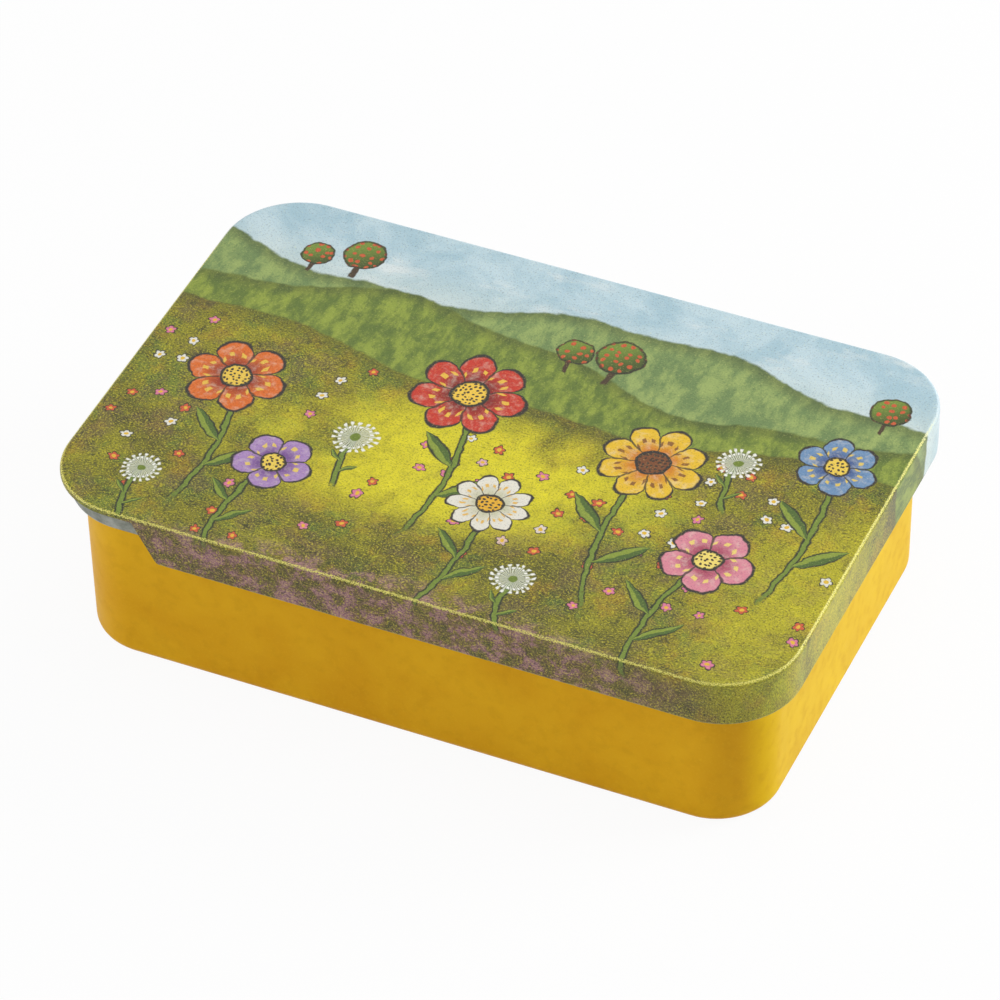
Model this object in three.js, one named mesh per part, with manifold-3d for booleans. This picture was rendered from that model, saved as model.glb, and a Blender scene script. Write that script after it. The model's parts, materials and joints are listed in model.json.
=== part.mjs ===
// A small hinged tin box for papers and keepsakes: a drawn tub, and a drawn lid that turns on its rim.
// Millimetres, +Z up. +X runs along the box from the hinge end to the end that lifts, +Y runs across it.
// The origin is the middle of the base, on the surface that the box stands on.
// Both pieces are one sheet of tinplate each. The tub's rim is rolled outwards into a hollow bead.
// The lid's skirt is hemmed inwards, cut away at the hinge end, and two of its tabs curl round the bead.
import * as THREE from "three";
import { mergeVertices, toCreasedNormals } from "three/addons/utils/BufferGeometryUtils.js";
import Module from "manifold-3d";

const wasm = await Module();
wasm.setup();

// The sheet and the air between the two pieces
const sheet = 0.3;
const runningGap = 0.3;

// The closed box
const boxLength = 120;
const boxWidth = 80;
const boxHeight = 32;
const boxCornerRadius = 12.5;

// The lid. A bend is the radius inside the sheet, as it is made round a tool.
const lidBend = 0.4;
const skirtDepth = 8.1;
const hemHeight = 2.4;
const hemGap = 0.3;
const lipDepth = 0.9;
const notchLength = 16.8;
const notchLean = 4;
const notchFootRound = 1.2;

// The tub. Its rolled rim is pressed to an oval, with a straight face between two half rounds.
const rimBore = 0.8;
const rimStraight = 2;
const wallLean = 0.3;
const tubCornerEase = 1.2;
const baseBend = 1.5;
const standingRingWidth = 3;
const panelRise = 0.8;
const panelSlopeLength = 1.6;

// The hinge
const tabWidth = 9;
const tabSpacing = 38;
const windowSideGap = 0.5;
// The air over the tab at the window's top edge and under it at the bottom edge, as shares of the
// running gap
const windowTopShare = 0.6;
const windowFootShare = 1.5;
// The window's corner radius, as a share of its height
const windowCornerShare = 0.27;

// How far a cutting solid runs past what it cuts
const cutOverrun = 2;

// Angles, in degrees: 0 points outwards from the wall in a section of the sheet, and 90 points up
const rimCurlEnd = -110;
const tabEnd = 345;
const creaseAngle = 30;

// Steps in each quarter or curl
const cornerSteps = 12;
const edgeSteps = 4;
const foldSteps = 6;
const rimSteps = 10;
const curlSteps = 16;

// The least corner radius that is left on a ring, as a share of the box's own
const leastCornerShare = 0.02;

// Places that follow from the sizes. `out` is measured outwards from the lid's outer face, so it is
// zero on that face and negative inside it.
const skirtBottom = boxHeight - skirtDepth;
const lidEdgeRadius = lidBend + sheet;
const foldRadius = hemGap / 2 + sheet;
const rimRadius = rimBore + sheet;
const baseEdgeRadius = baseBend + sheet;
const rimOut = -(2 * sheet + hemGap + runningGap + rimRadius);
const rimHeight = boxHeight - sheet - runningGap - rimRadius;
const rimLow = rimHeight - rimStraight;
const wallInnerOut = rimOut - rimRadius;
const wallOuterOut = wallInnerOut + sheet;
const hingeEnd = -boxLength / 2;

// The tabs are curled so that they lie flush with the skirt outside and clear the rim all round. The
// lid turns about the centre of that curl, which is level with the middle of the rim.
const tabRadius = sheet + runningGap + rimRadius + rimStraight / 2;
const hingeX = hingeEnd + tabRadius;
const hingeZ = (rimHeight + rimLow) / 2;

const radians = THREE.MathUtils.degToRad;

// Points of an arc in a section, from one angle to another, in equal steps.
function arc(centreOut, centreZ, radius, fromDegrees, toDegrees, steps) {
  const points = [];
  for (let step = 0; step <= steps; step++) {
    const angle = radians(THREE.MathUtils.lerp(fromDegrees, toDegrees, step / steps));
    points.push([centreOut + radius * Math.cos(angle), centreZ + radius * Math.sin(angle)]);
  }
  return points;
}

// One ring of the sheet: the box's rounded rectangle, moved outwards by `out`, at one height. `ease`
// makes its corners rounder.
function ring([out, z], ease) {
  const radius = Math.max(boxCornerRadius + ease + out, boxCornerRadius * leastCornerShare);
  const centreX = boxLength / 2 + out - radius;
  const centreY = boxWidth / 2 + out - radius;
  const quarters = [
    [centreX, centreY],
    [-centreX, centreY],
    [-centreX, -centreY],
    [centreX, -centreY],
  ];
  return quarters.flatMap(([x, y], quarter) =>
    arc(x, y, radius, quarter * 90, quarter * 90 + 90, cornerSteps).map(([px, py]) => [px, py, z]),
  );
}

// A drawn sheet: rings through the points of its section, with a flat panel closing each end.
// The section starts under the panel and ends on top of it, with the metal on its left all the way.
function drawn(section, ease) {
  const rings = section.map((point) => ring(point, ease));
  const count = rings[0].length;
  const index = [];
  for (let level = 0; level + 1 < rings.length; level++) {
    for (let k = 0; k < count; k++) {
      const here = level * count + k;
      const next = level * count + ((k + 1) % count);
      index.push(here, next, next + count);
      index.push(here, next + count, here + count);
    }
  }
  const outline = rings[0].map(([x, y]) => new THREE.Vector2(x, y));
  const lastRing = (rings.length - 1) * count;
  for (const [a, b, c] of THREE.ShapeUtils.triangulateShape(outline, [])) {
    index.push(a, c, b);
    index.push(lastRing + a, lastRing + b, lastRing + c);
  }
  const geometry = new THREE.BufferGeometry();
  geometry.setAttribute("position", new THREE.Float32BufferAttribute(rings.flat(2), 3));
  geometry.setIndex(index);
  return geometry;
}

// An outline in x and z, carried across the box for a width about the given y.
function across(outline, width, y) {
  const geometry = new THREE.ExtrudeGeometry(outline, {
    depth: width,
    bevelEnabled: false,
    curveSegments: curlSteps,
  });
  geometry.rotateX(Math.PI / 2);
  geometry.translate(0, y + width / 2, 0);
  return geometry;
}

// A closed geometry as a solid that can be cut and joined.
function solid(geometry) {
  const bare = geometry.clone();
  bare.deleteAttribute("normal");
  bare.deleteAttribute("uv");
  const merged = mergeVertices(bare);
  return new wasm.Manifold(
    new wasm.Mesh({
      numProp: 3,
      vertProperties: merged.attributes.position.array,
      triVerts: new Uint32Array(merged.index.array),
    }),
  );
}

// A solid as a named mesh with its own finish.
function meshOf(name, made, material) {
  const { vertProperties, triVerts } = made.getMesh();
  const geometry = new THREE.BufferGeometry();
  geometry.setAttribute("position", new THREE.BufferAttribute(vertProperties, 3));
  geometry.setIndex(new THREE.BufferAttribute(triVerts, 1));
  const mesh = new THREE.Mesh(toCreasedNormals(geometry, radians(creaseAngle)), material);
  mesh.name = name;
  return mesh;
}

// The y of each hinge tab's middle
const tabPlaces = [-tabSpacing / 2, tabSpacing / 2];

// The tub's sheet, from under its raised panel, round the rolled rim, to the top of the panel
function tubSheet() {
  const edgeOut = wallOuterOut - wallLean - baseEdgeRadius;
  const ringInner = edgeOut - standingRingWidth;
  const panelEdge = ringInner - panelSlopeLength;
  const slopeShift = sheet * Math.tan(Math.atan2(panelRise, panelSlopeLength) / 2);
  const section = [
    [panelEdge, panelRise],
    [ringInner, 0],
    ...arc(edgeOut, baseEdgeRadius, baseEdgeRadius, -90, 0, edgeSteps),
    ...arc(rimOut, rimHeight, rimBore, 180, 0, rimSteps),
    ...arc(rimOut, rimLow, rimBore, 0, rimCurlEnd, rimSteps),
    ...arc(rimOut, rimLow, rimRadius, rimCurlEnd, 0, rimSteps),
    ...arc(rimOut, rimHeight, rimRadius, 0, 180, rimSteps),
    ...arc(edgeOut, baseEdgeRadius, baseBend, 0, -90, edgeSteps),
    [ringInner + slopeShift, sheet],
    [panelEdge + slopeShift, panelRise + sheet],
  ];
  return drawn(section, tubCornerEase);
}

// A window in the hinge wall, just under the rim, that one curled tab passes through. Its top and its
// bottom clear the ring that the tab sweeps as the lid turns.
function hingeWindow(y) {
  const outside = hingeEnd - wallOuterOut - hingeX;
  const inside = hingeEnd - wallInnerOut - hingeX;
  const topReach = tabRadius - sheet - runningGap * windowTopShare;
  const top = -Math.sqrt(topReach ** 2 - inside ** 2);
  const bottom = -Math.sqrt(tabRadius ** 2 - outside ** 2) - runningGap * windowFootShare;
  const halfWidth = tabWidth / 2 + windowSideGap;
  const radius = (top - bottom) * windowCornerShare;
  const outline = new THREE.Shape();
  outline.absarc(halfWidth - radius, top - radius, radius, 0, radians(90));
  outline.absarc(radius - halfWidth, top - radius, radius, radians(90), radians(180));
  outline.absarc(radius - halfWidth, bottom + radius, radius, radians(180), radians(270));
  outline.absarc(halfWidth - radius, bottom + radius, radius, radians(270), radians(360));
  const wallCut = 2 * runningGap;
  const geometry = new THREE.ExtrudeGeometry(outline, {
    depth: sheet + wallCut,
    bevelEnabled: false,
    curveSegments: edgeSteps,
  });
  geometry.rotateX(Math.PI / 2);
  geometry.rotateZ(Math.PI / 2);
  geometry.translate(hingeEnd - wallOuterOut - runningGap, y, hingeZ);
  return geometry;
}

function makeTub() {
  let tub = solid(tubSheet());
  for (const y of tabPlaces) tub = tub.subtract(solid(hingeWindow(y)));
  const paint = new THREE.MeshStandardMaterial({ color: 0xc8932b, roughness: 0.38, metalness: 0.15 });
  return meshOf("tub", tub, paint);
}

// The lid's sheet, from under its panel, round the hem of the skirt, to the top of the panel
function lidSheet() {
  const edgeZ = boxHeight - lidEdgeRadius;
  const foldZ = skirtBottom + foldRadius;
  const hemTop = skirtBottom + hemHeight;
  const section = [
    ...arc(-lidEdgeRadius, edgeZ, lidBend, 90, 0, edgeSteps),
    ...arc(-foldRadius, foldZ, hemGap / 2, 0, -180, foldSteps),
    [-(sheet + hemGap), hemTop],
    [-(2 * sheet + hemGap), hemTop],
    ...arc(-foldRadius, foldZ, foldRadius, -180, 0, foldSteps),
    ...arc(-lidEdgeRadius, edgeZ, lidEdgeRadius, 0, 90, edgeSteps),
  ];
  return drawn(section, 0);
}

// What is cut from the skirt at the hinge end: all below the lip, back to a slanted end on each side
function skirtNotch() {
  const lipBottom = boxHeight - lipDepth;
  const notchTop = hingeEnd + notchLength;
  const notchFoot = notchTop + notchLean;
  const slant = new THREE.Vector2(notchLean, skirtBottom - lipBottom).setLength(notchFootRound);
  const outline = new THREE.Shape();
  outline.moveTo(hingeEnd - cutOverrun, lipBottom);
  outline.lineTo(hingeEnd - cutOverrun, skirtBottom - cutOverrun);
  outline.lineTo(notchFoot + notchFootRound, skirtBottom - cutOverrun);
  outline.lineTo(notchFoot + notchFootRound, skirtBottom - sheet);
  outline.quadraticCurveTo(notchFoot, skirtBottom, notchFoot - slant.x, skirtBottom - slant.y);
  outline.lineTo(notchTop, lipBottom);
  outline.closePath();
  return across(outline, boxWidth + 2 * cutOverrun, 0);
}

// One tab: straight down from the lip, then curled under the rim, through its window and up inside
function hingeTab(y) {
  const root = boxHeight - lidEdgeRadius;
  const outline = new THREE.Shape();
  outline.moveTo(hingeEnd, root);
  outline.lineTo(hingeEnd, hingeZ);
  outline.absarc(hingeX, hingeZ, tabRadius, radians(180), radians(tabEnd));
  outline.absarc(hingeX, hingeZ, tabRadius - sheet, radians(tabEnd), radians(180), true);
  outline.lineTo(hingeEnd + sheet, root);
  outline.closePath();
  return across(outline, tabWidth, y);
}

function makeLid() {
  let lid = solid(lidSheet()).subtract(solid(skirtNotch()));
  for (const y of tabPlaces) lid = lid.add(solid(hingeTab(y)));
  const print = new THREE.MeshStandardMaterial({ color: 0x93943c, roughness: 0.4, metalness: 0.15 });
  return meshOf("lid", lid, print);
}

// The assembly. Turning `hinge` about -Y opens the lid.
const box = new THREE.Group();
box.add(makeTub());
const hinge = new THREE.Group();
hinge.position.set(hingeX, 0, hingeZ);
const lid = makeLid();
lid.position.set(-hingeX, 0, -hingeZ);
hinge.add(lid);
box.add(hinge);

export default box;
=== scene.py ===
# %% [markdown]
# # A hinged tin box, dressed for its portrait
#
# The box is two pieces of drawn tinplate: a tub with a rolled rim, and a lid whose tabs curl round that
# rim. Their sizes, and the way the lid turns, are already settled in the imported model. This lesson
# gives both pieces a fine surface: thin sheet with smooth bends, gold enamel, bare tin and a printed lid.
#
# We load the imported model first; the sizes further on are read from its pieces.

# %% Load the frame
import json
import math

import bmesh
import bpy
from mathutils import Matrix, Vector


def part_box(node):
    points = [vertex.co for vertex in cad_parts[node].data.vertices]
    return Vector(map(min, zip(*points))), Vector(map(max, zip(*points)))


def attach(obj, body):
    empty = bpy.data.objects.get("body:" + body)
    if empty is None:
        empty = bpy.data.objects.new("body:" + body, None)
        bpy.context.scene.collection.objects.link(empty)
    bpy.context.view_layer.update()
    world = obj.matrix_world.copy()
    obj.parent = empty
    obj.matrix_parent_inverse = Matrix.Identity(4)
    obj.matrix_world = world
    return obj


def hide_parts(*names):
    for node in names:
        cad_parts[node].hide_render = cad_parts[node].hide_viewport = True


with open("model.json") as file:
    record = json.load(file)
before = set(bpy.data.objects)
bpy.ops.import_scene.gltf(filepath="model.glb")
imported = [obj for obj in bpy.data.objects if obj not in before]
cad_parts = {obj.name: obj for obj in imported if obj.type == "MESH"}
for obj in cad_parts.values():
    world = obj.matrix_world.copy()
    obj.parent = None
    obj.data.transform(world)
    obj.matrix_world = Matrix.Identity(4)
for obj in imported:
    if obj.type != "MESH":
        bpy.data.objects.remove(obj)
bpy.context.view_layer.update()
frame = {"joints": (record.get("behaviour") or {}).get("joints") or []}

# %% [markdown]
# ## Sizes
#
# Blender works in metres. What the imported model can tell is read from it: the closed box, how deep the
# lid's skirt is and where the lid turns. The sheet's thickness and its bends are the maker's own values.

# %% Sizes from the frame, and the sheet's own
mm = 0.001
lid_low, lid_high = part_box("lid")
_, tub_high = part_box("tub")
box_length = lid_high.x - lid_low.x
box_width = lid_high.y - lid_low.y
box_height = lid_high.z
skirt_bottom = lid_low.z
hinge_x, _, hinge_z = frame["joints"][0]["pos_m"]

sheet = 0.3 * mm
running_gap = 0.3 * mm
hem_gap = 0.3 * mm
hem_height = 2.4 * mm
corner_radius = 12.5 * mm
tub_corner_ease = 1.2 * mm
rim_corner_ease = 0.4 * mm
lid_bend = 0.4 * mm
base_bend = 1.5 * mm
wall_lean = 0.3 * mm
rim_bore = 0.8 * mm
rim_straight = 2 * mm
lip_depth = 0.9 * mm
print("box", [round(v / mm, 2) for v in (box_length, box_width, box_height)], "mm")

# %% Places that follow
# `out` is measured outwards from the lid's outer face: zero on that face, negative inside it.
lid_edge = lid_bend + sheet
fold_radius = hem_gap / 2 + sheet
rim_radius = rim_bore + sheet
base_edge = base_bend + sheet
rim_out = -(2 * sheet + hem_gap + running_gap + rim_radius)
rim_z = tub_high.z - rim_radius
rim_low = rim_z - rim_straight
wall_inner = rim_out - rim_radius
wall_outer = wall_inner + sheet
hinge_end = -box_length / 2
tab_radius = hinge_x - hinge_end
print("rim", [round(v / mm, 2) for v in (2 * rim_radius, 2 * rim_radius + rim_straight)], "mm wide and high")
print("wall", round(-wall_outer / mm, 2), "mm inside the lid's")
print("hinge", round((hinge_z - (rim_z + rim_low) / 2) / mm, 3), "mm off the rim's middle")

# %% [markdown]
# ## One sheet from one section
#
# A drawn tin has the same sheet all round, so one section through the sheet describes the whole piece.
# We could bend a solid block, or bevel a box. Lofting the section round a rounded rectangle is closer to
# how it is made and keeps every bend exact. Each point of the section becomes a ring of points.
#
# A wide flat face beside a tight bend shades badly, because the bend pulls at its normals. Two extra
# points on each straight stretch, close to its ends, keep the flat faces flat.

# %% Arcs, soft corners and straight stretches of a section
corner_steps = 20
edge_steps = 8
rim_steps = 16
curl_steps = 28
support = 0.12 * mm


def arc(out, z, radius, start, end, steps):
    """Points of an arc in a section. 0 degrees points outwards and 90 points up."""
    turns = [math.radians(start + (end - start) * step / steps) for step in range(steps + 1)]
    return [Vector((out + radius * math.cos(turn), z + radius * math.sin(turn))) for turn in turns]


def soft_corner(before, corner, after, reach, steps=6):
    """A corner of a section as a curve that starts and ends `reach` away from it."""
    start = corner + (before - corner).normalized() * reach
    end = corner + (after - corner).normalized() * reach
    shares = [step / steps for step in range(steps + 1)]
    return [start * (1 - s) ** 2 + corner * 2 * s * (1 - s) + end * s * s for s in shares]


def joined(*curves):
    """Curves one after the other, with two supporting points on each straight stretch between them."""
    points = list(curves[0])
    for curve in curves[1:]:
        stretch = curve[0] - points[-1]
        if stretch.length > 4 * support:
            step = stretch.normalized() * support
            points += [points[-1] + step, curve[0] - step]
        points += curve
    return points


# %% Rings, and the sheet made of them
def ring(out, z, ease):
    """The box's rounded rectangle at one height, moved out by `out`. `ease` makes its corners rounder."""
    radius = corner_radius + ease + out
    centre = Vector((box_length / 2 + out - radius, box_width / 2 + out - radius))
    points = []
    for quarter, (side_x, side_y) in enumerate(((1, 1), (-1, 1), (-1, -1), (1, -1))):
        start = 90 * quarter
        turned = arc(side_x * centre.x, side_y * centre.y, radius, start, start + 90, corner_steps)
        points += [(point.x, point.y, z) for point in turned]
    return points


TIN, COAT = 0, 1
bare_tin, gold_enamel, meadow_print = [
    bpy.data.materials.new(name) for name in ("bare_tin", "gold_enamel", "meadow_print")
]


def as_piece(form, name, coat):
    """The form as an object of the scene, with bare tin as its first finish and a coat as its second."""
    mesh = bpy.data.meshes.new(name)
    form.to_mesh(mesh)
    form.free()
    mesh.materials.append(bare_tin)
    mesh.materials.append(coat)
    made = bpy.data.objects.new(name, mesh)
    bpy.context.scene.collection.objects.link(made)
    return made


def drawn(name, coat, strips, ease_at=lambda out: 0):
    """A drawn sheet. `strips` holds (finish, points) along the section, with the metal on its left.

    `ease_at` says how much rounder than the lid's face the corners are, for each `out`.
    """
    form = bmesh.new()
    last = None
    for finish, points in strips:
        for out, z in points:
            here = [form.verts.new(place) for place in ring(out, z, ease_at(out))]
            if last is None:
                form.faces.new(here[::-1]).material_index = finish
            else:
                for k in range(len(here)):
                    n = (k + 1) % len(here)
                    form.faces.new((last[k], last[n], here[n], here[k])).material_index = finish
            last = here
    form.faces.new(last).material_index = finish
    return as_piece(form, name, coat)


# %% [markdown]
# ## The tub
#
# The tub stands on a flat ring round its raised floor panel. Its rim is rolled outwards and pressed to
# an oval, so the rim shows the metal of the tub's inside: that is the narrow grey band under the lid's
# lip. The walls lean in a little towards the base, and their corners are rounder than the lid's. The roll
# stands out a little more where it goes round a corner, so there it follows the lid more closely.
#
# The coat is on the outside of the sheet only. Walking along the section from under the floor, the coat
# runs up the wall and into the bore of the rim. From the rolled end onwards everything is bare.

# %% The tub's section and sheet
ring_width = 3 * mm
panel_rise = 0.8 * mm
panel_slope = 1.6 * mm
panel_bend = 0.7 * mm
curl_end = -110

edge_out = wall_outer - wall_lean - base_edge
ring_inner = edge_out - ring_width
panel_edge = ring_inner - panel_slope
slope_shift = sheet * math.tan(math.atan2(panel_rise, panel_slope) / 2)


def floor_panel(shift, lift):
    """The step from the standing ring up to the raised panel, from the ring inwards."""
    on_ring = Vector((edge_out, lift))
    foot = Vector((ring_inner + shift, lift))
    head = Vector((panel_edge + shift, panel_rise + lift))
    on_panel = head - Vector((panel_slope, 0))
    return joined(soft_corner(on_ring, foot, head, panel_bend), soft_corner(foot, head, on_panel, panel_bend))


tub_outside = joined(
    floor_panel(0, 0)[::-1],
    arc(edge_out, base_edge, base_edge, -90, 0, edge_steps),
    arc(rim_out, rim_z, rim_bore, 180, 0, rim_steps),
    arc(rim_out, rim_low, rim_bore, 0, curl_end, rim_steps),
)
tub_inside = joined(
    arc(rim_out, rim_low, rim_radius, curl_end, 0, rim_steps),
    arc(rim_out, rim_z, rim_radius, 0, 180, rim_steps),
    arc(edge_out, base_edge, base_bend, 0, -90, edge_steps),
    floor_panel(slope_shift, sheet),
)


def corner_ease(out):
    """How much rounder the tub's corners are than the lid's: most at the wall, least at the roll."""
    share = max(0, (out - wall_outer) / (rim_out + rim_radius - wall_outer))
    return tub_corner_ease + (rim_corner_ease - tub_corner_ease) * share


tub = drawn("tub_sheet", gold_enamel, [(COAT, tub_outside), (TIN, tub_inside)], corner_ease)
print("tub", len(tub.data.polygons), "faces")

# %% [markdown]
# ## Cutting and joining
#
# The hinge windows, the notch in the skirt and the curled tabs break the all-round form, so they are cut
# or joined afterwards. A Boolean modifier does both. Its cutters are prisms: an outline in the plane
# across the hinge, carried along a straight line.

# %% Prisms and Booleans
def prism(name, coat, outline, along, width, finish_of=lambda k: TIN):
    """A closed prism: points of an outline in metres, carried `width` about their plane."""
    form = bmesh.new()
    half = along * (width / 2)
    near = [form.verts.new(point - half) for point in outline]
    far = [form.verts.new(point + half) for point in outline]
    form.faces.new(near)
    form.faces.new(far[::-1])
    for k in range(len(outline)):
        n = (k + 1) % len(outline)
        form.faces.new((near[n], near[k], far[k], far[n])).material_index = finish_of(k)
    bmesh.ops.recalc_face_normals(form, faces=form.faces)
    return as_piece(form, name, coat)


def combine(body, tool, operation):
    """Cuts the tool out of the body, or joins it on, and takes the tool away."""
    step = body.modifiers.new(operation.lower(), "BOOLEAN")
    step.operation = operation
    step.solver = "MANIFOLD"
    step.object = tool
    bpy.context.view_layer.update()
    result = bpy.data.meshes.new_from_object(body.evaluated_get(bpy.context.evaluated_depsgraph_get()))
    body.modifiers.clear()
    body.data = result
    bpy.data.objects.remove(tool)


def in_profile(x, z):
    """A point of an outline that lies in the plane across the hinge, at y = 0."""
    return Vector((x, 0, z))


# %% [markdown]
# ## The hinge
#
# There is no pin. Two tabs of the lid curl under the rim and up inside the tub, through windows punched
# just below the bead. Each window is a little wider than its tab and clears the ring that it sweeps.

# %% The windows in the hinge wall
tab_width = 9 * mm
tab_places = [-19 * mm, 19 * mm]
window_side_gap = 0.5 * mm
window_top_share = 0.6
window_foot_share = 1.5
window_corner_share = 0.27

wall_reach_outer = hinge_end - wall_outer - hinge_x
wall_reach_inner = hinge_end - wall_inner - hinge_x
clear_of_tab = tab_radius - sheet - running_gap * window_top_share
window_top = hinge_z - math.sqrt(clear_of_tab**2 - wall_reach_inner**2)
window_bottom = hinge_z - math.sqrt(tab_radius**2 - wall_reach_outer**2) - running_gap * window_foot_share
window_half = tab_width / 2 + window_side_gap
window_corner = (window_top - window_bottom) * window_corner_share
window_x = hinge_end - (wall_outer + wall_inner) / 2
window_corners = ((1, window_top), (-1, window_top), (-1, window_bottom), (1, window_bottom))

for number, y in enumerate(tab_places):
    outline = []
    for quarter, (side, level) in enumerate(window_corners):
        inwards = 1 if level == window_bottom else -1
        centre_y = y + side * (window_half - window_corner)
        centre_z = level + inwards * window_corner
        start = 90 * quarter
        for point in arc(centre_y, centre_z, window_corner, start, start + 90, edge_steps):
            outline.append(Vector((window_x, point.x, point.y)))
    window = prism(f"window_{number}", gold_enamel, outline, Vector((1, 0, 0)), sheet + 2 * running_gap)
    combine(tub, window, "DIFFERENCE")
print("windows", round((window_top - window_bottom) / mm, 2), "mm high")
print("tub", len(tub.data.polygons), "faces with its windows")

# %% [markdown]
# ## The lid
#
# The skirt's lower edge is folded inwards and up, which makes it safe to touch and holds it straight.
# The print is on the outside of the flat sheet before it is drawn, so after the fold the printed side
# also faces inwards, on the hem.

# %% The lid's section and sheet
edge_z = box_height - lid_edge
fold_z = skirt_bottom + fold_radius
hem_top = skirt_bottom + hem_height

lid_under = joined(
    arc(-lid_edge, edge_z, lid_bend, 90, 0, edge_steps),
    arc(-fold_radius, fold_z, hem_gap / 2, 0, -180, edge_steps),
    [Vector((-(sheet + hem_gap), hem_top))],
    [Vector((-(2 * sheet + hem_gap), hem_top))],
)
lid_over = joined(
    arc(-fold_radius, fold_z, fold_radius, -180, 0, 2 * edge_steps),
    arc(-lid_edge, edge_z, lid_edge, 0, 90, edge_steps),
)
flat_rim_under = Vector((-lid_edge - support, box_height - sheet))
flat_rim_over = Vector((-lid_edge - support, box_height))
lid_strips = [(TIN, [flat_rim_under] + lid_under), (COAT, lid_over + [flat_rim_over])]
lid = drawn("lid_sheet", meadow_print, lid_strips)
print("lid", len(lid.data.polygons), "faces")

# %% The notch at the hinge end
notch_length = 16.8 * mm
notch_lean = 4 * mm
notch_foot_round = 1.2 * mm
overrun = 2 * mm

lip_bottom = box_height - lip_depth
notch_top = hinge_end + notch_length
notch_foot = notch_top + notch_lean
foot_curve = soft_corner(
    Vector((notch_foot + notch_foot_round, skirt_bottom - sheet)),
    Vector((notch_foot, skirt_bottom)),
    Vector((notch_top, lip_bottom)),
    notch_foot_round,
    edge_steps,
)
notch_outline = [
    in_profile(hinge_end - overrun, lip_bottom),
    in_profile(hinge_end - overrun, skirt_bottom - overrun),
    in_profile(foot_curve[0].x, skirt_bottom - overrun),
    *[in_profile(point.x, point.y) for point in foot_curve],
    in_profile(notch_top, lip_bottom),
]
across_box = Vector((0, 1, 0))
combine(lid, prism("notch", meadow_print, notch_outline, across_box, box_width + 2 * overrun), "DIFFERENCE")

# %% The curled tabs
tab_end = 345


def tab_arc(radius, start, end):
    """Points of a tab's curl about the hinge axis."""
    return [in_profile(point.x, point.y) for point in arc(hinge_x, hinge_z, radius, start, end, curl_steps)]


outer_curl = [in_profile(hinge_end, edge_z)] + tab_arc(tab_radius, 180, tab_end)
inner_curl = tab_arc(tab_radius - sheet, tab_end, 180) + [in_profile(hinge_end + sheet, edge_z)]
printed_sides = len(outer_curl) - 1


def tab_finish(k):
    """Printed on the outside of the curl, which was the sheet's outside, and bare elsewhere."""
    return COAT if k < printed_sides else TIN


for number, y in enumerate(tab_places):
    outline = [point + Vector((0, y, 0)) for point in outer_curl + inner_curl]
    tab = prism(f"tab_{number}", meadow_print, outline, across_box, tab_width, tab_finish)
    combine(lid, tab, "UNION")
print("lid", len(lid.data.polygons), "faces with its tabs")

# %% Smooth bends, crisp cut edges
crisp_angle = math.radians(32)
for piece in (tub, lid):
    piece.data.polygons.foreach_set("use_smooth", [True] * len(piece.data.polygons))
    piece.data.set_sharp_from_angle(angle=crisp_angle)
    piece.data.update()

# %% [markdown]
# ## Shader sums as Python
#
# A finish is a sum of patterns, and its node tree is that sum drawn as boxes and wires. Writing it as
# Python expressions is easier to read. `Term` wraps one socket. Its operators add Math nodes for numbers
# and Vector Math nodes for vectors, and `node` adds any other node.

# %% One socket as a term of a sum
def is_vector(value):
    """True for three plain numbers, and for a term that carries a vector or a colour."""
    return isinstance(value, tuple) or isinstance(value, Term) and value.socket.type in ("VECTOR", "RGBA")


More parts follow.
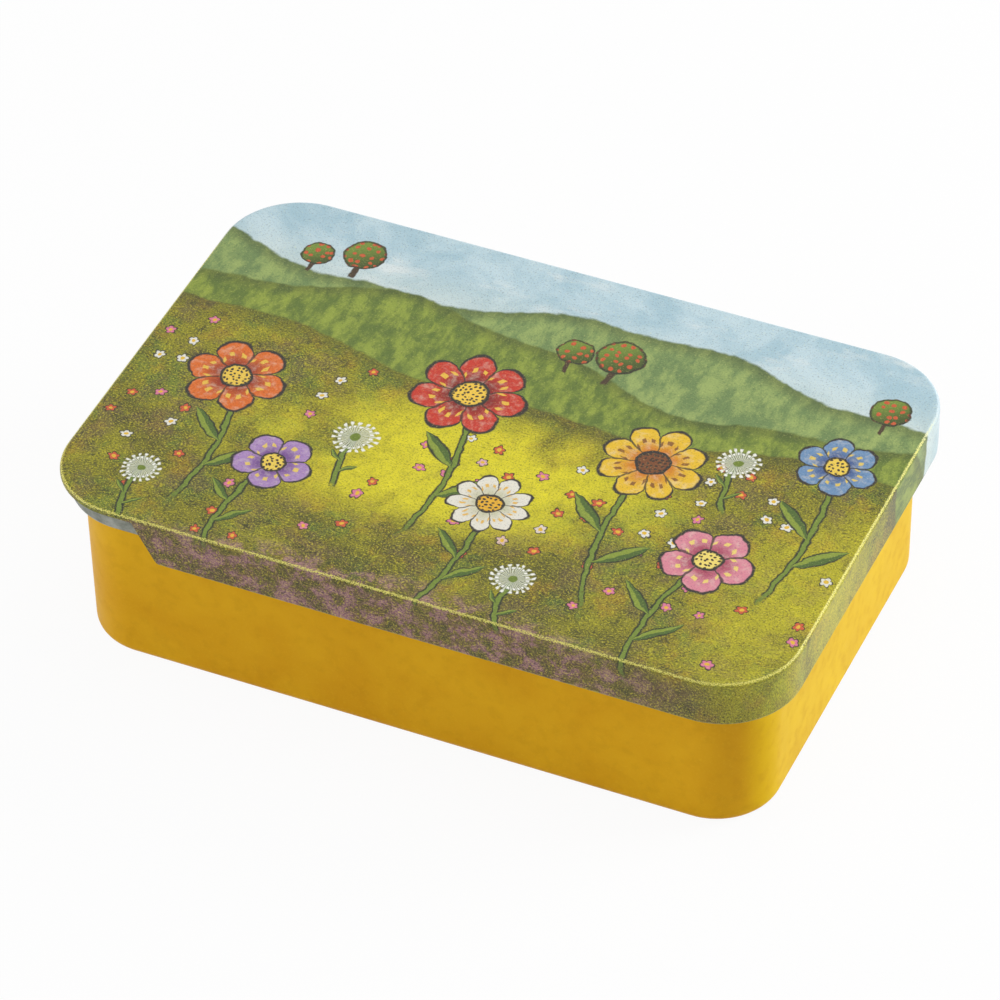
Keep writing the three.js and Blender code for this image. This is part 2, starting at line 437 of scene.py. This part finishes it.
class Term:
    """One socket of a node tree. Operators on it add the nodes that work out the result."""

    def __init__(self, tree, socket=None):
        self.tree = tree
        self.socket = socket

    def node(self, kind, settings=(), sockets=(), out=0):
        """Adds a node: its settings first, then values or links for its sockets. Returns one output."""
        made = self.tree.nodes.new(kind)
        for name, value in dict(settings).items():
            setattr(made, name, value)
        for name, value in dict(sockets).items():
            if isinstance(value, Term):
                self.tree.links.new(value.socket, made.inputs[name])
            else:
                made.inputs[name].default_value = value
        return Term(self.tree, made.outputs[out])

    def math(self, operation, *values):
        """A Math node of this term and the values after it."""
        return self.node("ShaderNodeMath", {"operation": operation}, dict(enumerate((self, *values))))

    def vector(self, operation, *values, out=0):
        """A Vector Math node of the values. A number stands for three of it."""
        full = [self.spread(value) for value in values]
        return self.node("ShaderNodeVectorMath", {"operation": operation}, dict(enumerate(full)), out)

    def spread(self, value):
        """A number as a vector of three of it. Vectors stay as they are."""
        if is_vector(value):
            return value
        if isinstance(value, Term):
            return self.node("ShaderNodeCombineXYZ", sockets={0: value, 1: value, 2: value})
        return (value,) * 3

    def sum(self, operation, first, second):
        """Two values joined by an operator, as vectors if either of them is one."""
        if is_vector(first) or is_vector(second):
            return self.vector(operation, first, second)
        return self.node("ShaderNodeMath", {"operation": operation}, {0: first, 1: second})

    def __add__(self, other):
        return self.sum("ADD", self, other)

    def __radd__(self, other):
        return self.sum("ADD", other, self)

    def __sub__(self, other):
        return self.sum("SUBTRACT", self, other)

    def __rsub__(self, other):
        return self.sum("SUBTRACT", other, self)

    def __mul__(self, other):
        return self.sum("MULTIPLY", self, other)

    def __rmul__(self, other):
        return self.sum("MULTIPLY", other, self)

    def __truediv__(self, other):
        return self.sum("DIVIDE", self, other)

    def __pow__(self, other):
        return self.sum("POWER", self, other)

    def __abs__(self):
        return self.math("ABSOLUTE")

    def parts(self):
        """The x, y and z of a vector, or the three parts of a colour, each as a term."""
        kind = "ShaderNodeSeparateColor" if self.socket.type == "RGBA" else "ShaderNodeSeparateXYZ"
        return [Term(self.tree, output) for output in self.node(kind, sockets={0: self}).socket.node.outputs]

    def length(self):
        """The length of a vector."""
        return self.vector("LENGTH", self, out=1)

    def between(self, low, high):
        """0 at low, 1 at high and a smooth rise from one to the other. low may be the larger number."""
        settings = {"interpolation_type": "SMOOTHSTEP", "clamp": False}
        return self.node("ShaderNodeMapRange", settings, {"Value": self, "From Min": low, "From Max": high})


# %% Colours as a maker mixes them, and patterns by their real size
def tint(red, green, blue):
    """A colour given as 0 to 255, as a picture program shows it, as the linear colour that Blender wants."""
    shares = [value / 255 for value in (red, green, blue)]
    return tuple(s / 12.92 if s <= 0.04045 else ((s + 0.055) / 1.055) ** 2.4 for s in shares) + (1,)


def laid(mask, under, over):
    """The colour `over`, laid on `under` where the mask is 1."""
    # The node has sockets for every kind of value. Those for colours are 6 and 7, and output 2.
    return mask.node("ShaderNodeMix", {"data_type": "RGBA"}, {0: mask, 6: under, 7: over}, 2)


def noise(place, size, detail=3.0, roughness=0.55, distortion=0.0, out=0):
    """Noise with blotches about `size` across, in the units of the place. Output 1 is its colour."""
    sockets = {
        "Vector": place,
        "Scale": 1 / size,
        "Detail": detail,
        "Roughness": roughness,
        "Distortion": distortion,
    }
    return place.node("ShaderNodeTexNoise", sockets=sockets, out=out)


def cells(place, size, jitter, out=0):
    """Cells about `size` across. Output 0 is the distance to a cell's middle, 1 its colour, 2 its middle."""
    settings = {"voronoi_dimensions": "2D"}
    sockets = {"Vector": place, "Scale": 1 / size, "Randomness": jitter}
    return place.node("ShaderNodeTexVoronoi", settings, sockets, out)


def begin(material, **plain):
    """Sets plain numbers on a material's shader. Returns the shader and a term to start from."""
    material.use_nodes = True
    shader = material.node_tree.nodes["Principled BSDF"]
    for socket, value in plain.items():
        shader.inputs[socket.replace("_", " ")].default_value = value
    return shader, Term(material.node_tree)


def feed(shader, **terms):
    """Links terms to the shader's sockets, named with underlines for spaces."""
    for name, term in terms.items():
        term.tree.links.new(term.socket, shader.inputs[name.replace("_", " ")])


def in_millimetres(start):
    """The point of the piece in the box's own frame, in millimetres."""
    return start.node("ShaderNodeTexCoord", out=3) * (1 / mm)


def relief(height, depth):
    """A bump whose full height is `depth` in millimetres."""
    return height.node("ShaderNodeBump", sockets={"Strength": 1.0, "Distance": depth * mm, "Height": height})


# %% [markdown]
# ## Bare tinplate
#
# Tinplate is steel with a bright tin coat that keeps faint lines from the rolling mill and soft grey
# clouds where it was handled. A flat grey metal would look like plastic. Long thin noise gives the mill
# lines, and a broad noise gives the clouds. The roll of the rim is the part that air and fingers reach
# with the lid closed, so blotches of soil dull it. The same blotches also carry painted shade: the tin
# is painted darker where the lid's lip shades the roll.

# %% The bare tin
# In millimetres above the table, round the lower edge of the roll, where its soil and painted shade begin.
soil_and_shade_start = 27
soil_and_shade_full = 27.6

shader, start = begin(bare_tin, Metallic=1.0)
place = in_millimetres(start)
mill_lines = noise(place * (0.12, 1, 1), 0.28, detail=4)
clouds = noise(place, 11, detail=4)
specks = noise(place, 0.9, detail=2).between(0.66, 0.74)
_, _, height = place.parts()
blotches = noise(place, 2.2, detail=4, roughness=0.65)
# Dark blotches on the roll: soil, and painted shade from the lid's lip above it.
rim_soil_and_shade = height.between(soil_and_shade_start, soil_and_shade_full) * blotches
tin = laid(clouds.between(0.3, 0.7), tint(176, 178, 172), tint(205, 206, 198))
tin = laid(mill_lines.between(0.35, 0.7) * 0.35, tin, tint(150, 152, 148))
tin = laid(specks * 0.35, tin, tint(120, 120, 112))
tin = laid(rim_soil_and_shade * 1.3, tin, tint(92, 97, 84))
feed(
    shader,
    Base_Color=tin,
    Roughness=0.24 + clouds * 0.2 + mill_lines * 0.08,
    Normal=relief(mill_lines * 0.4 + noise(place, 9, detail=1), 0.012),
)
print("bare tin:", len(bare_tin.node_tree.nodes), "nodes")

# %% [markdown]
# ## Gold enamel
#
# The tub's outside carries one coat of warm yellow, baked on before drawing. It is satin and a little
# uneven in depth. The end that lifts is painted a little lighter and more lemon, which is painted light
# from the lamp on that side. On the standing ring and the lowest bend, next to the table, the enamel is
# darker and rougher with less coat, broken up by noise.

# %% The gold enamel
# In millimetres from the middle of the box, round the corners of the end that lifts: where its painted light
# starts and where it is full.
painted_light_start = 52.5
painted_light_full = 56.6

shader, start = begin(gold_enamel, Coat_Roughness=0.22, Specular_IOR_Level=0.05)
place = in_millimetres(start)
length_way, _, height = place.parts()
depth_of_coat = noise(place, 16, detail=4, distortion=0.4)
fine_mottle = noise(place, 2.2, detail=3)
grain = noise(place, 0.35, detail=2)
enamel = laid(depth_of_coat.between(0.3, 0.7), tint(226, 167, 24), tint(236, 182, 30))
painted_light_lemon = laid(depth_of_coat.between(0.3, 0.7), tint(230, 186, 12), tint(240, 200, 18))
# Painted light: the end that lifts is painted lighter and more lemon, as if lit by the lamp on that side.
enamel = laid(length_way.between(painted_light_start, painted_light_full), enamel, painted_light_lemon)
enamel = laid(fine_mottle.between(0.45, 0.75) * 0.3, enamel, tint(208, 150, 20))
enamel = laid(grain.between(0.5, 0.8) * 0.25, enamel, tint(246, 204, 50))
# Darker, rougher and with less coat near the table, on the standing ring and the lowest bend, broken up by
# noise.
near_table_band = height.between(0.7, 0.05) * noise(place, 1.6, detail=5).between(0.5, 0.66)
enamel = laid(near_table_band * 0.6, enamel, tint(150, 112, 52))
feed(
    shader,
    Base_Color=enamel,
    Roughness=0.36 + fine_mottle * 0.14 + near_table_band * 0.2,
    Coat_Weight=0.03 - near_table_band * 0.02,
    Normal=relief(grain * 0.25 + fine_mottle * 0.3 + noise(place, 14, detail=1), 0.02),
)
print("gold enamel:", len(gold_enamel.node_tree.nodes), "nodes")

# %% [markdown]
# ## The printed meadow
#
# The lid carries a painted picture, printed on the flat sheet before it is drawn. So the picture runs on
# down the skirt, as if it were unfolded. We could unwrap the lid and paint a picture file. A procedural
# picture needs no file, stays sharp at any size and is made of a few plain rules.
#
# First we find where each point of the lid lay on the flat sheet. Then the picture is built as a painter
# would, from back to front: sky, hills, grass, stems, blossoms and last the ink.

# %% Where a point of the lid lay on the flat sheet
def past_centres(flat):
    """The way to a point of the sheet from the rectangle that joins the centres of the four corners."""
    half_x = (box_length / 2 - corner_radius) / mm
    half_y = (box_width / 2 - corner_radius) / mm
    inner = flat.vector("MINIMUM", flat, (half_x, half_y, 0))
    inner = flat.vector("MAXIMUM", inner, (-half_x, -half_y, 0))
    return flat - inner


def on_flat_sheet(start):
    """The place on the flat printed sheet, in millimetres. The skirt lies as far out as it reaches down."""
    spot = in_millimetres(start)
    _, _, z = spot.parts()
    flat = spot * (1, 1, 0)
    outwards = flat.vector("NORMALIZE", past_centres(flat))
    drop = box_height / mm - z
    return flat + outwards * drop, drop


# %% Sky and hills
def ridge(x, base, *waves):
    """The height of a hill's line. Each wave has a height, a length and a shift."""
    line = base
    for height, length, shift in waves:
        line = (x * (2 * math.pi / length) + shift).math("SINE") * height + line
    return line


def painted_sky(place, y):
    """Pale blue washes with soft clouds, warmer near the hills."""
    wash = noise(place, 13, detail=7, roughness=0.7, distortion=0.5)
    sky = laid(wash.between(0.36, 0.64), tint(172, 204, 217), tint(204, 227, 235))
    sky = laid(y.between(34, 22) * 0.4, sky, tint(232, 236, 218))
    puffs = noise(place * (0.6, 1.5, 1), 12, detail=6, roughness=0.6).between(0.53, 0.68)
    return laid(puffs * 0.6, sky, tint(240, 245, 243))


def hill(picture, place, y, line, colours, grain_size):
    """One hill in front of the picture so far: dark along its top, with strokes of two greens."""
    deep, light = colours
    into = line - y
    strokes = noise(place * (1, 0.45, 1), grain_size, detail=5, roughness=0.7)
    green = laid(strokes.between(0.38, 0.64), tint(*deep), tint(*light))
    green = laid(into.between(3.5, 0) * 0.55, green, tint(66, 76, 34))
    return laid(into.between(-0.35, 0.35), picture, green)


# %% Grass, light and heather
def painted_meadow(place, x, y):
    """The near meadow: olive with ochre and moss, a dark verge, sunlit yellow and heather along the front."""
    broad = noise(place, 19, detail=4, distortion=0.8)
    dabs = noise(place, 3.2, detail=6, roughness=0.74)
    hairs = noise(place * (0.85, 1, 1), 0.3, detail=2, roughness=0.8, distortion=0.35)
    ochre, moss, dusk = noise(place, 8, detail=5, roughness=0.65, out=1).parts()
    grass = laid(broad.between(0.34, 0.62), tint(92, 90, 24), tint(146, 142, 30))
    grass = laid(ochre.between(0.5, 0.64) * 0.55, grass, tint(172, 132, 40))
    grass = laid(moss.between(0.5, 0.64) * 0.6, grass, tint(86, 120, 46))
    grass = laid(dusk.between(0.5, 0.62) * 0.6, grass, tint(104, 84, 62))
    verge = y.between(-39, -43) * x.between(60, 44)
    grass = laid(verge * (0.2 + broad * 0.7), grass, tint(88, 66, 48))
    grass = laid(dabs.between(0.55, 0.68) * (0.75 - verge * 0.3), grass, tint(186, 178, 36))
    grass = laid(dabs.between(0.48, 0.35) * 0.85, grass, tint(58, 60, 22))
    sweep = ((x + y * 0.9 + 14) / 44) ** 2 + ((y - x * 0.25 + 10) / 17) ** 2
    low_light = ((x - 60) / 20) ** 2 + ((y + 22) / 27) ** 2
    sunlit = (sweep.between(1.25, 0.1) + low_light.between(1.1, 0.1) * 0.4) * broad.between(0.25, 0.5)
    grass = laid(sunlit * (0.3 + dabs), grass, tint(244, 232, 40))
    drift = ((x + 4) / 48) ** 2 + ((y + 45) / 9) ** 2
    heather = drift.between(1.3, 0.35) * dabs.between(0.4, 0.56)
    bloom = laid(dabs.between(0.45, 0.62), tint(108, 72, 72), tint(176, 122, 144))
    grass = laid(heather * 0.8, grass, bloom)
    grass = laid(hairs.between(0.52, 0.66) * 0.6, grass, tint(226, 212, 56))
    return laid(hairs.between(0.48, 0.34) * (0.8 - sunlit * 0.35), grass, tint(48, 40, 18))


# %% [markdown]
# A flower or a tree comes back many times, with other sizes and colours. As plain nodes that would be
# more than a thousand boxes. A node group is the better tool: it is drawn once, and each use is one node
# with a few numbers on it, like a rubber stamp. `stamp` makes such a group of a Python function. The
# function's notes on its arguments give the kinds of the group's sockets.

# %% Stamps
def stamp(paint):
    """Makes a node group of a painting function. Returns a function that adds one use of it."""
    tree = bpy.data.node_groups.new(paint.__name__, "ShaderNodeTree")
    for name, kind in paint.__annotations__.items():
        tree.interface.new_socket(name, in_out="INPUT", socket_type="NodeSocket" + kind)
    tree.interface.new_socket("painted", in_out="OUTPUT", socket_type="NodeSocketColor")
    given = tree.nodes.new("NodeGroupInput").outputs[: len(paint.__annotations__)]
    painted = paint(*[Term(tree, socket) for socket in given])
    tree.links.new(painted.socket, tree.nodes.new("NodeGroupOutput").inputs[0])
    print("stamp", paint.__name__, "has", len(tree.nodes), "nodes")

    def use(picture, *values):
        """One use of the stamp on the picture so far."""
        return picture.node("ShaderNodeGroup", {"node_tree": tree}, dict(enumerate((picture, *values))))

    return use


# %% Trees on the ridges
@stamp
def tree(
    picture: "Color",
    place: "Vector",
    root: "Vector",
    size: "Float",
    lit: "Color",
    shade: "Color",
    fruit: "Color",
):
    """A small round tree: trunk, crown with a lit side, fruit and an ink line."""
    away = (place - root) / (size / 2)
    across, up, _ = away.parts()
    reach = away.length()
    trunk = abs(across).between(0.16, 0.09) * up.between(-0.6, -0.7) * up.between(-1.75, -1.65)
    picture = laid(trunk, picture, tint(70, 52, 34))
    leaves = laid((across * 0.6 - up * 0.8).between(-0.8, 0.9), lit, shade)
    berries = cells(place, 1.5, jitter=0.5).between(0.3, 0.22)
    leaves = laid(berries, leaves, fruit)
    leaves = laid(reach.between(0.84, 0.93) * 0.85, leaves, tint(40, 38, 28))
    return laid(reach.between(1.03, 0.97), picture, leaves)


# %% Stems and leaves
@stamp
def leaf(picture: "Color", place: "Vector", foot: "Vector", tip: "Vector", width: "Float"):
    """A pointed leaf from foot to tip, lighter on one side of its rib, with an ink edge."""
    way_x, way_y, _ = (tip - foot).parts()
    off_x, off_y, _ = (place - foot).parts()
    reach = (tip - foot).length()
    along = (off_x * way_x + off_y * way_y) / (reach * reach)
    across = (off_y * way_x - off_x * way_y) / reach
    share = abs(across) / (along * (1 - along) * (2 * width)).math("MAXIMUM", 0.01)
    green = laid(across.between(-0.1, 0.1), tint(78, 104, 40), tint(140, 158, 58))
    green = laid(share.between(0.6, 0.85), green, tint(36, 42, 24))
    return laid(share.between(1.05, 0.9) * along.between(0, 0.02) * along.between(1, 0.98), picture, green)


@stamp
def stalk(picture: "Color", place: "Vector", foot: "Vector", head: "Vector", bow: "Float"):
    """A stalk from foot to head that bows sideways. Its foot goes out of sight among the grass."""
    way_x, way_y, _ = (head - foot).parts()
    off_x, off_y, _ = (place - foot).parts()
    share = off_y / way_y
    off = abs(off_x - (share * way_x + share * (1 - share) * (4 * bow)))
    tufts = noise(place, 0.7, detail=3)
    inside = (share + tufts * 0.4).between(0.18, 0.34) * share.between(1, 0.99)
    picture = laid(off.between(0.75, 0.5) * inside, picture, tint(36, 42, 24))
    return laid(off.between(0.42, 0.25) * inside, picture, tint(120, 142, 52))


def stem(picture, place, foot, head, bow):
    """A stalk with a leaf on each side of it."""
    picture = stalk(picture, place, (*foot, 0), (*head, 0), bow)
    rise = head[1] - foot[1]
    for at, side in ((0.3, 1), (0.5, -1)):
        x = foot[0] + at * (head[0] - foot[0]) + at * (1 - at) * 4 * bow
        y = foot[1] + at * rise
        tip = (x + side * rise * 0.21, y + rise * 0.2, 0)
        picture = leaf(picture, place, (x, y, 0), tip, rise * 0.08)
    return picture


# %% Blossoms
@stamp
def blossom(
    picture: "Color",
    place: "Vector",
    head: "Vector",
    size: "Float",
    petals: "Float",
    turn: "Float",
    outer: "Color",
    throat: "Color",
    heart: "Color",
):
    """An open blossom: petals with a darker throat, a stitched ring, a seeded heart and an ink line."""
    ink = tint(42, 37, 34)
    away = (place - head) / (size / 2)
    across, up, _ = away.parts()
    reach = away.length()
    around = up.math("ARCTAN2", across) * (petals / 2) + turn
    lobe = abs(around.math("COSINE"))
    share = reach / (0.66 + 0.34 * lobe ** 0.6)
    wash = noise(place, 1.4, detail=4, roughness=0.65)
    petal = laid(share.between(0.25, 0.8), throat, outer)
    petal = laid(wash.between(0.45, 0.75) * 0.35, petal, tint(250, 240, 220))
    stitches = (around * 6).math("SINE").between(0.1, 0.3) * abs(share - 0.62).between(0.07, 0.045)
    petal = laid(stitches * 0.85, petal, heart)
    petal = laid(lobe.between(0.2, 0.07) * share.between(0.3, 0.4) * 0.85, petal, ink)
    seeds = cells(place, 0.75, jitter=0.6).between(0.34, 0.24)
    middle = laid(seeds, heart, tint(60, 44, 30))
    middle = laid(reach.between(0.24, 0.28), middle, ink)
    petal = laid(reach.between(0.33, 0.31), petal, middle)
    petal = laid(share.between(0.91, 0.95), petal, ink)
    return laid(share.between(1.02, 0.98), picture, petal)


@stamp
def seed_head(picture: "Color", place: "Vector", head: "Vector", size: "Float"):
    """A round seed head: thin white rays with a tuft at the end of each, round a small green heart."""
    away = (place - head) / (size / 2)
    across, up, _ = away.parts()
    reach = away.length()
    around = up.math("ARCTAN2", across) * 9
    long_rays = abs(around.math("COSINE"))
    short_rays = abs(around.math("SINE"))
    picture = laid(reach.between(1.1, 0.5) * 0.45, picture, tint(70, 80, 34))
    rays = long_rays.between(0.8, 0.97) * reach.between(0.92, 0.86)
    rays = rays.math("MAXIMUM", short_rays.between(0.72, 0.95) * reach.between(0.6, 0.54))
    picture = laid(rays * 0.9, picture, tint(224, 228, 206))
    tufts = long_rays.between(0.6, 0.9) * abs(reach - 0.9).between(0.1, 0.04)
    tufts = tufts.math("MAXIMUM", short_rays.between(0.55, 0.85) * abs(reach - 0.66).between(0.1, 0.04))
    picture = laid(tufts, picture, tint(252, 252, 244))
    return laid(reach.between(0.24, 0.18), picture, tint(112, 132, 44))


def near_ridge(x):
    """The line where the near meadow ends and the hills begin."""
    return ridge(x, 9, (3.2, 130, 4.6), (1.0, 41, 1.2))


def small_flowers(picture, place, size, radius, petals, colours):
    """Small flowers in patches, at most one in a cell. Each has one of three colours."""
    middle = cells(place, size, jitter=0.5, out=2)
    middle_x, middle_y, _ = middle.parts()
    on_top = past_centres(middle).length().between(11.5, 11.2)
    below_ridge = (near_ridge(middle_x) - middle_y).between(1.5, 4)
    sown = noise(middle, 24, detail=2).between(0.4, 0.62) * on_top * below_ridge
    lot, pick, turn = cells(place, size, jitter=0.5, out=1).parts()
    away = (place - middle) / radius
    across, up, _ = away.parts()
    reach = away.length()
    around = up.math("ARCTAN2", across) * (petals / 2) + turn * 6
    share = reach / (0.6 + 0.4 * abs(around.math("COSINE")))
    first, second, third = [tint(*colour) for colour in colours]
    petal = laid(pick.between(0.4, 0.42), first, second)
    petal = laid(pick.between(0.7, 0.72), petal, third)
    petal = laid(share.between(0.72, 0.9), petal, tint(48, 44, 28))
    petal = laid(reach.between(0.36, 0.26), petal, tint(238, 192, 62))
    grown = (sown * 0.75 - lot).between(0, 0.02)
    return laid(share.between(1.06, 0.96) * grown, picture, petal)


# %% Painting the lid, from back to front
shader, start = begin(meadow_print, Coat_Roughness=0.2, Specular_IOR_Level=0.3)
place, drop = on_flat_sheet(start)
sway_x = noise(place, 3.4, detail=3) - 0.5
sway_y = noise(place + (40, 0, 0), 3.4, detail=3) - 0.5
place = place + start.node("ShaderNodeCombineXYZ", sockets={0: sway_x * 1.6, 1: sway_y * 1.6})
x, y, _ = place.parts()

picture = painted_sky(place, y)
far_line = ridge(x, 27, (3.2, 92, 0.6), (0.9, 29, 2.0))
picture = hill(picture, place, y, far_line, ((112, 138, 84), (158, 178, 104)), 3)
middle_line = ridge(x, 19, (4.6, 104, 3.0), (1.1, 33, 0.5))
picture = hill(picture, place, y, middle_line, ((94, 116, 46), (150, 166, 66)), 2.6)
crown = (tint(122, 146, 56), tint(66, 80, 30), tint(206, 92, 52))
# Each tree: its root and its size, in millimetres.
for root, size in (((-44, 28), 5.5), ((-37, 30.5), 7), ((3, 21.5), 6), ((10, 23), 8), ((53, 27), 6.5)):
    picture = tree(picture, place, (*root, 0), size, *crown)
near_line = near_ridge(x)
near = painted_meadow(place, x, y)
near = laid((near_line - y).between(5, 0) * 0.5, near, tint(64, 72, 28))
picture = laid((near_line - y).between(-0.35, 0.35), picture, near)
picture = small_flowers(picture, place, 4.8, 1.1, 5, ((214, 96, 60), (240, 238, 226), (226, 128, 158)))

# Each seed head: its middle and its size, in millimetres.
for head, size in (((-20, -10), 7.5), ((-47, -29), 6.5), ((15, -30), 7), ((36, 7), 7)):
    picture = stem(picture, place, (head[0] + 2, head[1] - 12), head, -0.8)
    picture = seed_head(picture, place, (*head, 0), size)

# Each blossom: middle, size, petals, turn, the stalk's foot and bow, and its outer, throat and heart tints.
blossoms = (
    ((-43, -4), 17, 6, 0.2, (-40, -34), 2.5, ((226, 112, 40), (150, 44, 26), (244, 206, 84))),
    ((-29, -20), 13, 5, 0.6, (-31, -42), -1.5, ((176, 140, 196), (112, 70, 140), (246, 214, 92))),
    ((-8, 6), 19, 7, 0.1, (-5, -28), 3, ((206, 58, 42), (122, 26, 26), (250, 208, 80))),
    ((5, -16), 13.5, 9, 0.4, (3, -42), 1.5, ((240, 236, 222), (206, 204, 170), (238, 182, 52))),
    ((24, 2), 17.5, 8, 0.9, (27, -33), -2.5, ((240, 196, 48), (212, 120, 34), (122, 70, 36))),
    ((40, -15), 15, 5, 0.3, (37, -44), -2, ((226, 140, 158), (168, 62, 92), (250, 226, 120))),
    ((50, 12), 13.5, 6, 0.7, (50, -22), 2, ((112, 148, 188), (62, 86, 140), (244, 210, 86))),
)
for head, size, petals, turn, foot, bow, colours in blossoms:
    picture = stem(picture, place, foot, head, bow)
for head, size, petals, turn, foot, bow, colours in blossoms:
    picture = blossom(picture, place, (*head, 0), size, petals, turn, *[tint(*colour) for colour in colours])
print("meadow print so far:", len(meadow_print.node_tree.nodes), "nodes")

# %% Varnish, grain, and the stretched edge with its painted highlight
# Round the lid's edge the print is stretched, and a painted highlight lies along the bend:
# a pale yellow line on the grass, near white on the sky.
grain = noise(place, 0.3, detail=2, roughness=0.8)
picture = laid(grain.between(0.56, 0.72) * 0.28, picture, tint(244, 236, 150))
picture = laid(grain.between(0.47, 0.3) * 0.42, picture, tint(62, 56, 40))
edge_highlight_band = drop.between(0, 0.14) * drop.between(0.56, 0.16)
wear_and_highlight_breaks = noise(place * (1, 1, 0), 0.26, detail=2, roughness=0.75).between(0.38, 0.62)
# Painted highlight along the lid's top bend, broken by specks of stretched and worn print.
stretch_and_highlight = (edge_highlight_band * 0.8 + wear_and_highlight_breaks * 0.8 - 0.82).between(0, 0.34)
edge_highlight_tint = laid(y.between(20, 31), tint(248, 240, 128), tint(218, 232, 238))
picture = laid(stretch_and_highlight * 0.85, picture, edge_highlight_tint)
# A painted highlight along the lower edge of the folded hem.
hem_highlight = drop.between(7.5, 7.95) * noise(place, 0.9, detail=3).between(0.4, 0.62)
picture = laid(hem_highlight * 0.4, picture, tint(196, 198, 96))
peel = noise(place, 0.8, detail=2)
feed(
    shader,
    Base_Color=picture,
    Roughness=0.36 + grain * 0.12 + stretch_and_highlight * 0.1,
    Coat_Weight=0.12 - stretch_and_highlight * 0.06,
    Normal=relief(peel * 0.25 + grain * 0.15 + noise(place, 13, detail=1), 0.022),
)
print("meadow print:", len(meadow_print.node_tree.nodes), "nodes")

# %% [markdown]
# ## Each sheet on its body
#
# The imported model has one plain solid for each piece. Each finished sheet rides on its body and takes
# the solid's place, so the lid's sheet swings with the lid, tabs and all.

# %% Dress the two pieces
for piece, node in ((tub, "tub"), (lid, "lid")):
    print(piece.name, "finishes", [finish.name for finish in piece.data.materials])
    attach(piece, node)
    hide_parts(node)

# %% [markdown]
# ## Floor, light and camera
#
# The picture is a catalogue picture: a white ground, and soft light from above, from the right and from
# the front left. A large white floor under strong lamps would also throw light back on to the box and
# bleach it. So the floor and the world turn white only for the rays that show them: those from the
# camera, off gloss and through glass. The floor keeps a little of its own paint, and with it the shadow.

# %% The rays that show the background
def background_rays(start):
    """1 for a ray from the camera, off gloss or through glass, and 0 for a ray that lights the box."""
    rays = [Term(start.tree, output) for output in start.node("ShaderNodeLightPath").socket.node.outputs]
    named = {ray.socket.name: ray for ray in rays}
    shown = named["Is Camera Ray"]
    for kind in ("Is Glossy Ray", "Is Transmission Ray"):
        shown = shown.math("MAXIMUM", named[kind])
    return shown


# %% The floor
# It lies a hair under the base, so that two flat faces don't fight for one place.
floor_size = 6
floor_drop = 0.02 * mm
white_share = 0.94

bpy.ops.mesh.primitive_plane_add(size=floor_size)
floor = bpy.context.object
floor.name = "floor"
floor.location.z = -floor_drop
floor_paint = bpy.data.materials.new("floor_paint")
shader, start = begin(floor_paint, Base_Color=(0.92, 0.92, 0.92, 1), Roughness=0.8)
white = start.node("ShaderNodeEmission", sockets={"Color": (1, 1, 1, 1), "Strength": 1.0})
painted = Term(start.tree, shader.outputs[0])
cover = background_rays(start) * white_share
mixed = start.node("ShaderNodeMixShader", sockets={0: cover, 1: painted, 2: white})
start.tree.links.new(mixed.socket, start.tree.nodes["Material Output"].inputs[0])
floor.data.materials.append(floor_paint)

# %% The world
world_light = 0.34

world = bpy.data.worlds.new("studio")
world.use_nodes = True
bpy.context.scene.world = world
start = Term(world.node_tree)
strength = world_light + background_rays(start) * (1 - world_light)
ground = world.node_tree.nodes["Background"]
ground.inputs["Color"].default_value = (1, 1, 1, 1)
start.tree.links.new(strength.socket, ground.inputs["Strength"])

# %% Three soft lamps
lamp_aim = Vector((0, 0, 0.02))


def lamp(name, place, size, power):
    """A square lamp that looks at the box. Its place and size are in metres, its power in watts."""
    light = bpy.data.lights.new(name, "AREA")
    light.size = size
    light.energy = power
    made = bpy.data.objects.new(name, light)
    made.location = place
    made.rotation_euler = (lamp_aim - Vector(place)).to_track_quat("-Z", "Y").to_euler()
    bpy.context.scene.collection.objects.link(made)


lamp("window_light", (0.6, 0.45, 0.38), 0.4, 4.2)
lamp("ceiling_light", (0.05, 0.1, 0.9), 0.7, 2.4)
lamp("front_light", (-0.8, -0.55, 0.25), 0.5, 2.8)

# %% The camera, at the photograph's own viewing angle
camera_turn = math.radians(24.5307)
camera_height = math.radians(41.4845)
camera_roll = math.radians(-1.0884)
camera_distance = 0.895855
camera_shift = (-0.000735, 0.01346)
camera_lens = 206.77
camera_reach = 20

flat_share = math.cos(camera_height)
back = Vector((
    math.sin(camera_turn) * flat_share,
    -math.cos(camera_turn) * flat_share,
    math.sin(camera_height),
))
level = Vector((math.cos(camera_turn), math.sin(camera_turn), 0))
upright = back.cross(level)
right = level * math.cos(camera_roll) + upright * math.sin(camera_roll)
up = upright * math.cos(camera_roll) - level * math.sin(camera_roll)
lens = bpy.data.cameras.new("camera")
lens.lens = camera_lens
lens.clip_end = camera_reach
camera = bpy.data.objects.new("camera", lens)
spot = right * camera_shift[0] + up * camera_shift[1] + back * camera_distance
camera.matrix_world = Matrix.Translation(spot) @ Matrix((right, up, back)).transposed().to_4x4()
bpy.context.scene.collection.objects.link(camera)
bpy.context.scene.camera = camera
bpy.context.scene.view_settings.view_transform = "Standard"
